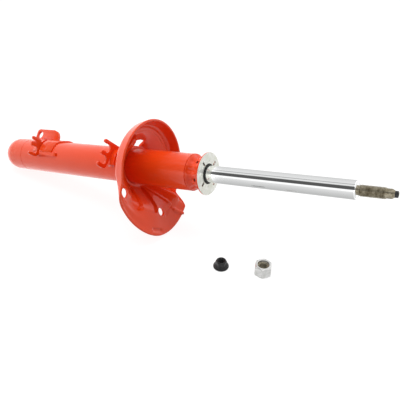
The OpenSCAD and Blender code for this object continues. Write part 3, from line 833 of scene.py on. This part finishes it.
def hook(name, outline, turn, z, nodes):
    bm = prism(outline, z, z + HOOK_T)
    bmesh.ops.rotate(bm, cent=(0, 0, 0), matrix=Matrix.Rotation(math.radians(turn), 3, "Z"), verts=bm.verts)
    obj = to_object(name, bm)
    cut(obj, [round_cutter("cutter_core", TUBE_R - 0.1, 20, (0, 0, z + HOOK_T / 2))])
    shaded(bevelled(obj, 0.6, 40, 3), 40)
    piece(obj, "housing", nodes, "red_paint", PAINT)


def foot(name, z_low, z_high, start, end, steps, width, nodes):
    """The strap that carries a hook on the tube."""
    obj = to_object(name, strap(TUBE_R - SINK, TUBE_R + FOOT_T, z_low, z_high, start, end, steps))
    piece(shaded(bevelled(obj, width, 40, 3), 40), "housing", nodes, "red_paint", PAINT)


def upper_outline():
    """The plate with two notches, drawn outwards from the tube along x."""
    tip = 42.4
    outline = [(14, -18.5), (tip - 1.6, -17.4), (tip - 0.4, -17.0), (tip + 0.6, -14.6), (tip - 0.2, -12.6)]
    outline += notch(34.2, -7.7, 5.5, tip - 1.6, tip - 1.6)
    outline += [(tip - 0.6, -1.4), (tip, 1.6), (tip - 1.0, 3.0)]
    outline += notch(35.2, 8.1, 5.5, tip - 1.8, tip - 1.0)
    outline += [(tip + 0.2, 14.2), (tip + 0.5, 16.6), (tip - 0.8, 18.2), (tip - 2.4, 18.6)]
    return outline + arc(31.9, 12.6, 6, 90, 180, 10) + [(24, 0)]


def lower_outline():
    """The plate with one notch and a narrow slot, drawn outwards from the tube along x."""
    tip = 38.6
    outline = [(18, -12.6), (28, -17.6), (tip - 0.6, -17.8), (tip + 0.7, -16.8), (tip + 0.3, -14.0)]
    outline += [(tip - 1.4, -13.2), (33.6, -13.2), (32.7, -12.8), (32.4, -12.0), (32.7, -11.2), (33.6, -10.8)]
    outline += [(tip - 1.4, -10.7), (tip + 0.1, -9.6), (tip + 0.4, -7.2)]
    outline += notch(31.2, 0.0, 5.0, tip - 0.6, tip - 0.6)
    outline += [(tip + 0.9, 6.6), (tip + 0.2, 8.2), (tip - 2.6, 8.9)]
    return outline + arc(29.5, 1.9, 7, 90, 170, 10) + [(19, 0)]


def hooks():
    hook("hose_hook_upper", upper_outline(), UPPER_A, UPPER_Z, ["upper_hook_plate"])
    hook("hose_hook_lower", lower_outline(), LOWER_A, LOWER_Z, ["lower_hook_plate"])
    top = UPPER_Z + 10
    foot("hook_foot_upper", UPPER_Z + HOOK_T, top, 12, 64, 40, 0.5, ["upper_hook_foot"])
    foot("hook_foot_lower", LOWER_Z + HOOK_T, TAIL_Z, 44.5, 56.5, 12, 0.6, ["lower_hook_foot"])
    low = strap(TUBE_R - SINK, TUBE_R + 1.9, UPPER_Z - 2.5, UPPER_Z, -4, 36, 50, 0.35, 4)
    end = strap(TUBE_R - SINK, TUBE_R + 2.0, UPPER_Z, top, 64, 69, 12, 0.35, 7)
    piece(shaded(to_object("hook_weld_low", low), 50), "housing", ["upper_hook_weld"], "red_paint", WELD)
    piece(shaded(to_object("hook_weld_end", end), 50), "housing", [], "red_paint", WELD)


EAR_TURN = -46.0
EAR_OFF = 2.0
EAR_T = 4.0
EAR_FROM_Z, EAR_TO_Z, EAR_TOP = 60.5, 106.5, 38.4
EAR_HOLE = (67.9, 30.0)
EAR_HOLE_R = 5.5


def saddle_mesh():
    """The saddle as one curved sheet: its front side begins higher up, and its tail runs out in a curve."""
    rows = []
    steps = 60
    start, sweep = -62, 106
    outer = TUBE_R + SADDLE_T
    for i in range(steps + 1):
        a = start + sweep * i / steps
        front = smooth((a + 22) / 8)
        low = 60 + 24 * front
        high = TAIL_Z - 10.2 * smooth((a + 34) / 36)
        rows.append([polar(r, a, z) for r, z in (
            (TUBE_R - SINK, low), (TUBE_R - SINK, high), (outer - 0.5, high), (outer, high - 0.6),
            (outer, low + 0.6), (outer - 0.5, low))])
    bm = grid(rows, around=True, loop=False)
    bmesh.ops.holes_fill(bm, edges=[e for e in bm.edges if e.is_boundary], sides=0)
    bmesh.ops.recalc_face_normals(bm, faces=bm.faces)
    return bm


def link_bracket():
    """The saddle, the ear that stands on it with its hole, and the beads along the ear's foot."""
    saddle = to_object("link_saddle_plate", saddle_mesh())
    # room for the lower hook's plate
    gap = strap(TUBE_R - 1, TUBE_R + 4, LOWER_Z - 1, LOWER_Z + HOOK_T + 1, -14, 60, 20)
    cut(saddle, [to_object("cutter_gap", gap)])
    piece(shaded(saddle, 40), "housing", ["link_saddle"], "red_paint", PAINT)
    far_round, near_round = 13, 5
    outline = [(EAR_FROM_Z, TUBE_BORE), (EAR_TO_Z, TUBE_BORE)]
    outline += arc(EAR_TO_Z - far_round, EAR_TOP - far_round, far_round, 0, 90, 14)
    outline += arc(EAR_FROM_Z + near_round, EAR_TOP - near_round, near_round, 90, 180, 8)
    turn = OWN @ Matrix.Rotation(math.radians(EAR_TURN), 4, "Z") @ Matrix((
        (0, 1, 0, 0), (0, 0, 1, EAR_OFF), (1, 0, 0, 0), (0, 0, 0, 1)))
    ear = to_object("link_ear_plate", prism(outline, 0, EAR_T), turn)
    cut(ear, [round_cutter("cutter_hole", EAR_HOLE_R, 20, (*EAR_HOLE, EAR_T / 2), 64, turn),
              round_cutter("cutter_core", 24.3, 80, (0, 0, 85))])
    piece(shaded(bevelled(ear, 0.6, 40, 3), 40), "housing", ["link_ear"], "red_paint", PAINT)
    for i, (start, end, seed) in enumerate(((-46, -41, 2), (-32.5, -27, 5))):
        bead = strap(24.4, 26.3, 79, 98, start, end, 10, 0.4, seed)
        obj = shaded(to_object(f"link_weld_bead_{i}", bead), 60)
        piece(obj, "housing", ["link_weld"] if i == 0 else [], "red_paint", WELD)


# ------------------------------------------------------------------ rod and stud
ROD_R = 10.0
SHOULDER_Z = 536.9
THREAD_PITCH = 1.25
STEPS_A_PITCH = 8


def ridge(t):
    """The height of a thread's ridge, from 0 to 1, at a share t of one pitch."""
    return smooth((1 - abs(2 * (t % 1.0) - 1) - 0.08) / 0.84)


def thread_rows(r_core, r_top, pitch, low, high, segments):
    """Rows of points up an outside thread that fades out at both ends."""
    rows = []
    count = int((high - low) / pitch * STEPS_A_PITCH)
    for i in range(count + 1):
        z = low + (high - low) * i / count
        ends = smooth(z - low) * smooth(high - z)
        row = []
        for j in range(segments):
            share = ridge(z / pitch - j / segments) * ends + 0.35 * (1 - ends)
            row.append(polar(r_core + (r_top - r_core) * share, 360.0 * j / segments, z))
        rows.append(row)
    return rows


def ring_row(r, z, segments):
    return [polar(r, 360.0 * j / segments, z) for j in range(segments)]


def rod():
    """The polished rod with its spigot, the threaded stud and the pin end."""
    top = SHOULDER_Z
    section = [(0.0, 219.0), (5.2, 219.0), (6.0, 219.8), (6.0, 252.0), (ROD_R - 0.4, 252.0), (ROD_R, 252.4)]
    section += [(ROD_R, z) for z in (300, 363, 430, 500, 520)]
    section += arc(ROD_R - 1.3, top - 1.6, 1.3, 0, 60, 5)
    section += [(8.9, top - 0.25), (8.5, top), (5.5, top), (0.0, top)]
    obj = shaded(to_object("polished_rod", revolve(section, 128)), 34)
    piece(obj, "rod", ["piston_rod"], "rod_chrome", CHROME)
    n = 72
    rows = [ring_row(r, z, n) for r, z in ((5.1, top - 0.05), (5.1, 538.0), (5.15, 538.6))]
    rows += thread_rows(5.2, 6.0, THREAD_PITCH, 538.9, 564.4, n)
    rows += [ring_row(r, z, n) for r, z in (
        (5.15, 564.8), (5.0, 565.2), (5.0, 569.6), (4.85, 570.1), (3.55, 572.3), (3.4, 572.5))]
    stud = shaded(to_object("stud_thread", grid(rows)), 60)
    piece(stud, "rod", [], "rod_chrome", STUD)
    rows = [ring_row(r, z, 48) for r, z in (
        (0.05, 572.4), (3.3, 572.4), (3.4, 572.5), (3.4, 574.8), (3.3, 575.2), (2.9, 575.5), (1.8, 575.5),
        (1.7, 575.0), (0.05, 574.8))]
    tip = shaded(to_object("stud_pin_tip", grid(rows)), 50)
    piece(tip, "rod", [], "rod_chrome", OXIDE)


# ------------------------------------------------------------------ loose nuts
def hex_r(flats, a):
    """The radius of a hexagon at an angle, from its width across the flats."""
    return flats / 2 / math.cos(math.radians((a + 30) % 60 - 30))


def nut_mesh(turn, centre, rings, segments=144):
    """A nut from rings that run up its outside and down its bore: each gives (radius, height) at an angle."""
    rows = []
    for ring in rings:
        row = []
        for j in range(segments):
            a = 360.0 * j / segments
            r, z = ring(a)
            t = math.radians(a + turn)
            row.append(Vector((centre[0] + r * MM * math.cos(t), centre[1] + r * MM * math.sin(t),
                               FLOOR_Z + z * MM)))
        rows.append(row)
    return grid(rows, around=True, loop=True)


def screw_rings(core, top, pitch, low, high):
    """Rings of an internal thread, from high down to low."""
    rings = []
    count = int((high - low) / pitch * STEPS_A_PITCH)
    for i in range(count + 1):
        z = high + (low - high) * i / count

        def ring(a, z=z):
            ends = smooth((z - low) / 0.6) * smooth((high - z) / 0.6)
            return top - (top - core) * (ridge(z / pitch - a / 360.0) * ends), z
        rings.append(ring)
    return rings


def fixed(r, z):
    """A ring that is the same all round."""
    return lambda a: (r, z)


def centre_of(node):
    low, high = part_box(node)
    return (low.x + high.x) / 2, (low.y + high.y) / 2


def stud_nut():
    centre = centre_of("top_nut")
    flats, h, mouth_r = 19.0, 14.0, 6.9
    crown = flats / 2 - 0.5

    def side(z_at, inset=0.0):
        return lambda a: (hex_r(flats, a) - inset, z_at(a))

    def top_edge(a):
        return h - 0.25 - max(0.0, hex_r(flats, a) - crown) * 0.62

    def low_edge(a):
        return 0.12 + max(0.0, hex_r(flats, a) - flats / 2 + 0.25) * 0.45

    rings = [fixed(mouth_r, 0.0), fixed(flats / 2 - 0.35, 0.0), side(low_edge, 0.02),
             side(lambda a: low_edge(a) + 0.35), side(lambda a: h * 0.5), side(lambda a: top_edge(a) - 0.35),
             side(top_edge, 0.03), fixed(crown, h - 0.12), fixed(crown - 0.35, h)]
    rings += [fixed(7.5, h), fixed(7.05, h - 0.2), fixed(mouth_r, h - 0.6), fixed(mouth_r, h - 3.0),
              fixed(6.5, h - 3.2)]
    rings += screw_rings(5.4, 6.05, THREAD_PITCH, 0.7, h - 3.4)
    rings += [fixed(6.2, 0.5)]
    obj = shaded(to_object("hex_nut", nut_mesh(20, centre, rings), None), 32)
    piece(obj, "top_nut", ["top_nut"], "zinc_plate", NUT, STUD)
    # the bore takes the darker stud steel: painted shade inside the nut
    for f in obj.data.polygons:
        bore = math.hypot(f.center.x - centre[0], f.center.y - centre[1]) < (mouth_r - 0.1) * MM
        f.material_index = 1 if bore and f.center.z > FLOOR_Z + 0.5 * MM else 0


def flanged_nut():
    flats, h = 12.0, 9.5
    crown = flats / 2 - 0.15

    def side(z_at, grow=0.0):
        return lambda a: (hex_r(flats, a) + grow, z_at(a))

    def top_edge(a):
        return h - 0.2 - max(0.0, hex_r(flats, a) - crown) * 1.3

    rings = [fixed(5.0, 0.0), fixed(8.9, 0.0), fixed(9.3, 0.2), fixed(9.4, 0.6), fixed(9.4, 1.2),
             fixed(9.25, 1.6), fixed(8.9, 1.8), fixed(7.9, 3.1), side(lambda a: 4.5, 0.35),
             side(lambda a: 5.1), side(lambda a: top_edge(a) - 0.3), side(top_edge, -0.05),
             fixed(crown - 0.2, h - 0.1), fixed(crown - 0.6, h)]
    rings += [fixed(4.5, h), fixed(4.1, h - 0.4)]
    rings += screw_rings(3.4, 4.0, THREAD_PITCH, 0.8, h - 0.5)
    rings += [fixed(4.3, 0.4)]
    obj = shaded(to_object("flanged_nut", nut_mesh(0, centre_of("flange_nut"), rings), None), 32)
    piece(obj, "flange_nut", ["flange_nut"], "black_oxide", OXIDE)


tube_and_cap()
collar()
disc()
wiper()
spring_seat()
seat_weld()
hooks()
link_bracket()
rod()
stud_nut()
flanged_nut()

# each CAD node takes the material of its slot
KEPT = {
    "plain_steel": STEEL, "sintered_iron": IRON, "bush_bronze": BRONZE, "band_plastic": BAND,
    "black_rubber": RUBBER, "red_paint": PAINT, "zinc_plate": ZINC, "rod_chrome": CHROME,
    "black_oxide": OXIDE}
SLOT_OF = {s["node"]: s["material_slot"] for s in frame["record"]["subparts"]}
for node_name, node_object in frame["nodes"].items():
    for slot_index in range(max(1, len(node_object.material_slots))):
        if not node_object.material_slots:
            node_object.data.materials.append(KEPT[SLOT_OF[node_name]])
        node_object.material_slots[slot_index].material = KEPT[SLOT_OF[node_name]]

# ------------------------------------------------------------------ floor, light and camera
scene = bpy.context.scene


def floor():
    bm = bmesh.new()
    bmesh.ops.create_grid(bm, x_segments=8, y_segments=8, size=6.0)
    bmesh.ops.translate(bm, vec=(0.2, 0, FLOOR_Z - 0.0006), verts=bm.verts)
    obj = to_object("studio_floor", bm, None)
    m = Nodes("studio_floor")
    m.set(Base_Color=m.mix(m.noise(3, 2), (0.20, 0.20, 0.20), (0.23, 0.23, 0.23)), Roughness=0.9,
          Specular_IOR_Level=0.1, Emission_Color=(1.0, 1.0, 1.0), Emission_Strength=0.88)
    obj.data.materials.append(m.mat)
    obj.visible_diffuse = False
    obj.visible_glossy = False


def area(name, at, target, size, size_y, power):
    """A softbox that lights the pieces but doesn't show in their reflections."""
    data = bpy.data.lights.new(name, "AREA")
    data.shape = "RECTANGLE"
    data.size, data.size_y = size, size_y
    data.energy = power
    obj = bpy.data.objects.new(name, data)
    scene.collection.objects.link(obj)
    obj.visible_glossy = False
    obj.location = at
    obj.rotation_mode = "QUATERNION"
    obj.rotation_quaternion = (Vector(target) - Vector(at)).to_track_quat("-Z", "Y")
    return obj


# The studio's brightness by direction, invented and tuned to the photograph's view. Glossy rays and
# diffuse rays see different surroundings: glossy ones see bands round the strut's axis, for the chrome, and
# diffuse ones see soft light from all sides.
# What a polished bar shows, turn by turn round the strut's axis, in degrees from the uppermost side towards
# the front: walls behind, a gap overhead, the dark room, the front softbox, the floor.
ROUND_THE_AXIS = (
    (-180, 0.54), (-128, 0.62), (-90, 0.68), (-50, 0.76), (-10, 0.84), (-7, 0.45), (1, 0.45), (4, 0.86),
    (19, 0.84), (25, 0.10), (60, 0.10), (66, 1.20), (80, 1.15), (92, 0.80), (130, 0.66), (180, 0.54))
# How these change along the axis, by a direction's share along it, from the closed end's side to the rod's:
# the softbox at the closed end, a gap, a bright strip, then the wall beyond the rod.
GLOSSY_ALONG = (
    (-1.0, 2.5), (-0.76, 2.3), (-0.68, 1.8), (-0.64, 1.4), (-0.61, 0.15), (-0.56, 0.15), (-0.552, 2.8),
    (-0.512, 2.8), (-0.497, 1.0), (0.0, 1.0), (0.2, 2.0), (0.4, 2.0), (0.5, 1.4), (1.0, 1.4))
# the softbox at the closed end is even all round, and the bands begin beyond it
EVEN_SHADE = 0.72
EVEN_ALONG = ((-1.0, 1.0), (-0.66, 1.0), (-0.60, 0.0), (1.0, 0.0))
BANDS_ALONG = ((-1.0, 0.0), (-0.66, 0.0), (-0.60, 1.0), (1.0, 1.0))
# diffuse light by height, and the room's dark side, past the rod's end and to the front
DIFFUSE_UP = ((-1.0, 0.92), (-0.2, 0.86), (0.3, 0.72), (1.0, 0.66))
DARK_SIDE = (0.55, -0.68, 0.48)
DIFFUSE_DARK = ((-1.0, 1.0), (0.2, 1.08), (0.6, 0.70), (0.8, 0.40), (1.0, 0.30))


def world():
    w = bpy.data.worlds.new("studio")
    w.use_nodes = True
    tree = w.node_tree
    back = tree.nodes["Background"]
    path = tree.nodes.new("ShaderNodeLightPath")
    toward = tree.nodes.new("ShaderNodeTexCoord").outputs["Generated"]

    def share(direction):
        """The ray's component along a direction."""
        n = tree.nodes.new("ShaderNodeVectorMath")
        n.operation = "DOT_PRODUCT"
        tree.links.new(toward, n.inputs[0])
        n.inputs[1].default_value = direction
        return n.outputs["Value"]

    def math_node(kind, a, b):
        n = tree.nodes.new("ShaderNodeMath")
        n.operation = kind
        for i, v in enumerate((a, b)):
            if isinstance(v, (int, float)):
                n.inputs[i].default_value = v
            else:
                tree.links.new(v, n.inputs[i])
        return n.outputs[0]

    def ramp(value, low, high, stops):
        """A grey that follows the stops, each a value and its brightness."""
        span = tree.nodes.new("ShaderNodeMapRange")
        span.inputs["From Min"].default_value = low
        span.inputs["From Max"].default_value = high
        tree.links.new(value, span.inputs["Value"])
        n = tree.nodes.new("ShaderNodeValToRGB")
        tree.links.new(span.outputs["Result"], n.inputs["Fac"])
        band = n.color_ramp
        band.elements[1].position = 1.0
        while len(band.elements) < len(stops):
            band.elements.new(0.5)
        # all the places first, then the brightness
        for element, (at, _) in zip(band.elements, stops):
            element.position = (at - low) / (high - low)
        for element, (_, grey) in zip(band.elements, stops):
            element.color = (grey, grey, grey, 1.0)
        return n.outputs["Color"]

    along = share(AXIS)
    round_it = math_node("ARCTAN2", share(FRONT), share(UPPERMOST))
    turned = math_node("MULTIPLY", round_it, 180 / math.pi)
    even = math_node("MULTIPLY", ramp(along, -1, 1, EVEN_ALONG), EVEN_SHADE)
    banded = math_node("MULTIPLY", ramp(along, -1, 1, BANDS_ALONG), ramp(turned, -180, 180, ROUND_THE_AXIS))
    glossy = math_node("MULTIPLY", math_node("ADD", even, banded), ramp(along, -1, 1, GLOSSY_ALONG))
    diffuse = math_node("MULTIPLY", ramp(share((0, 0, 1)), -1, 1, DIFFUSE_UP),
                        ramp(share(DARK_SIDE), -1, 1, DIFFUSE_DARK))

    def choose(ray, otherwise, value):
        """One value for rays of a kind, and another for all others."""
        mix = tree.nodes.new("ShaderNodeMix")
        mix.data_type = "RGBA"
        tree.links.new(path.outputs[ray], mix.inputs[0])
        tree.links.new(otherwise, mix.inputs[6])
        if isinstance(value, float):
            mix.inputs[7].default_value = (value, value, value, 1)
        else:
            tree.links.new(value, mix.inputs[7])
        return mix.outputs[2]

    shade = choose("Is Camera Ray", choose("Is Glossy Ray", diffuse, glossy), 1.0)
    tree.links.new(shade, back.inputs["Color"])
    back.inputs["Strength"].default_value = 1.0
    scene.world = w


floor()
world()
area("key_overhead", (0.15, 0.1, 1.2), (0.15, 0, 0), 1.1, 0.8, 8)
area("fill_front", (-0.8, -1.1, 0.5), (0.1, 0, 0), 0.8, 0.8, 4)

# where the camera stands, the way back from the scene to it, and the way that is up in its picture
CAMERA_AT = (0.5410, -0.4319, 0.3947)
CAMERA_BACK = Vector((0.3951, -0.6989, 0.5962))
CAMERA_UP = Vector((-0.3032, 0.5134, 0.8028))

camera = bpy.data.objects.new("camera", bpy.data.cameras.new("camera"))
scene.collection.objects.link(camera)
camera.data.lens = 45
camera.data.sensor_width = 36
camera.data.clip_start = 0.01
camera.data.clip_end = 20
back = CAMERA_BACK.normalized()
up = (CAMERA_UP - back * back.dot(CAMERA_UP)).normalized()
right = up.cross(back)
camera.matrix_world = Matrix.Translation(CAMERA_AT) @ Matrix((
    (right.x, up.x, back.x), (right.y, up.y, back.y), (right.z, up.z, back.z))).to_4x4()
scene.camera = camera
scene.view_settings.view_transform = "Standard"
